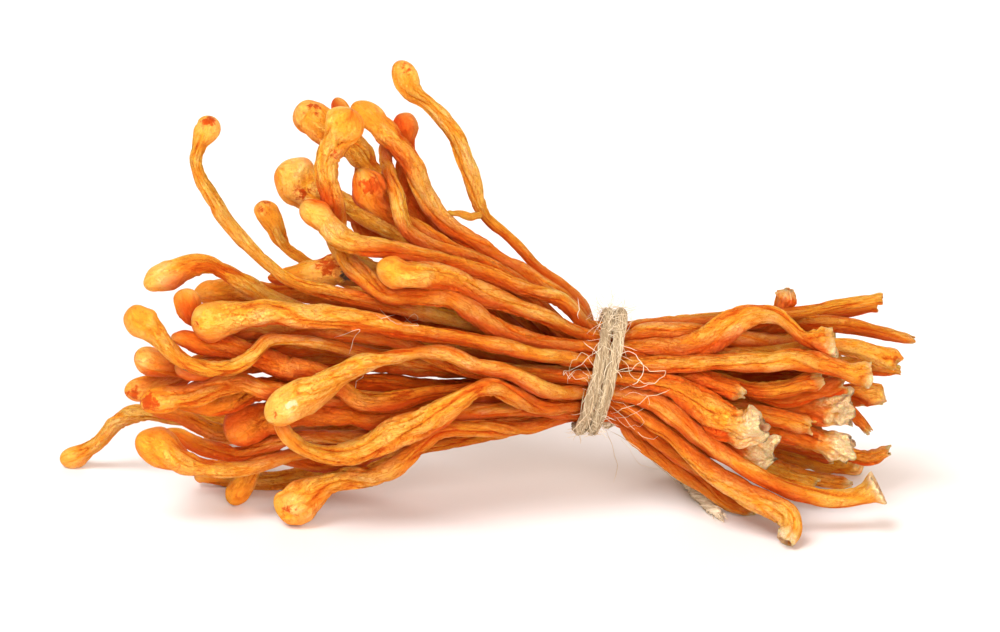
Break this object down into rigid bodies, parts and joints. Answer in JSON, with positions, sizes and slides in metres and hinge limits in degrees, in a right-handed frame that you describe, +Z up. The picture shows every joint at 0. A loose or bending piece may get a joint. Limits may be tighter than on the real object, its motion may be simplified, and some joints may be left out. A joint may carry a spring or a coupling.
{
  "type": "dried cordyceps bundle",
  "caption": "Bunch of dried orange cordyceps with club heads fanned out at one end and torn butts at the other, tied round its waist with jute twine and lying on its side.",
  "frame": {"origin": "on the surface that the bunch lies on, under the middle of its box without the twine's free end", "axes": "+X from the club heads towards the torn butts, +Z up, -Y towards the picture's viewer"},
  "size_m": [0.1054, 0.0378, 0.0555],
  "materials": {
    "orange_stem": "dry, satin, wrinkled lengthwise, warm orange with paler ridges",
    "brown_stem": "dry, satin, wrinkled lengthwise, red-brown",
    "jute_twine": "matt, hairy straw-coloured jute"
  },
  "bodies": {
    "root": {"stem_tall_curled": "orange_stem", "stem_thick_arch": "orange_stem", "stem_bent_back": "orange_stem", "stem_pale_curl": "orange_stem", "stem_question_mark": "orange_stem", "stem_big_front_club": "orange_stem", "stem_round_club": "orange_stem", "stem_spotted_club": "orange_stem", "stem_front_loop": "orange_stem", "stem_hanging_head": "orange_stem", "stem_lowest_front": "orange_stem", "stem_left_arch": "orange_stem", "stem_s_bend": "orange_stem", "stem_short_upper_left": "orange_stem", "stem_rough_patch": "orange_stem", "stem_left_middle": "orange_stem", "stem_brown_crumpled": "brown_stem", "stem_red_tip": "orange_stem", "stem_leftmost_foot": "orange_stem", "stem_low_club": "orange_stem", "stem_behind_low_club": "orange_stem", "stem_dark_ball": "brown_stem", "stem_dark_folded": "brown_stem", "stem_long_dark": "brown_stem", "stem_back_foot": "orange_stem", "stem_floor_left": "brown_stem", "stem_tall_thin": "orange_stem", "stem_back_loner": "orange_stem", "stem_bruised_fold": "brown_stem", "stem_back_dimpled": "orange_stem", "stem_back_leaning": "orange_stem", "stem_back_small": "orange_stem", "stem_back_middle": "orange_stem", "stem_folded_hollow": "orange_stem", "stem_front_drop": "orange_stem", "stem_brown_head": "brown_stem", "stem_short_behind_arch": "orange_stem", "twine_tie": "jute_twine", "twine_tail": "jute_twine"}
  },
  "joints": []
}
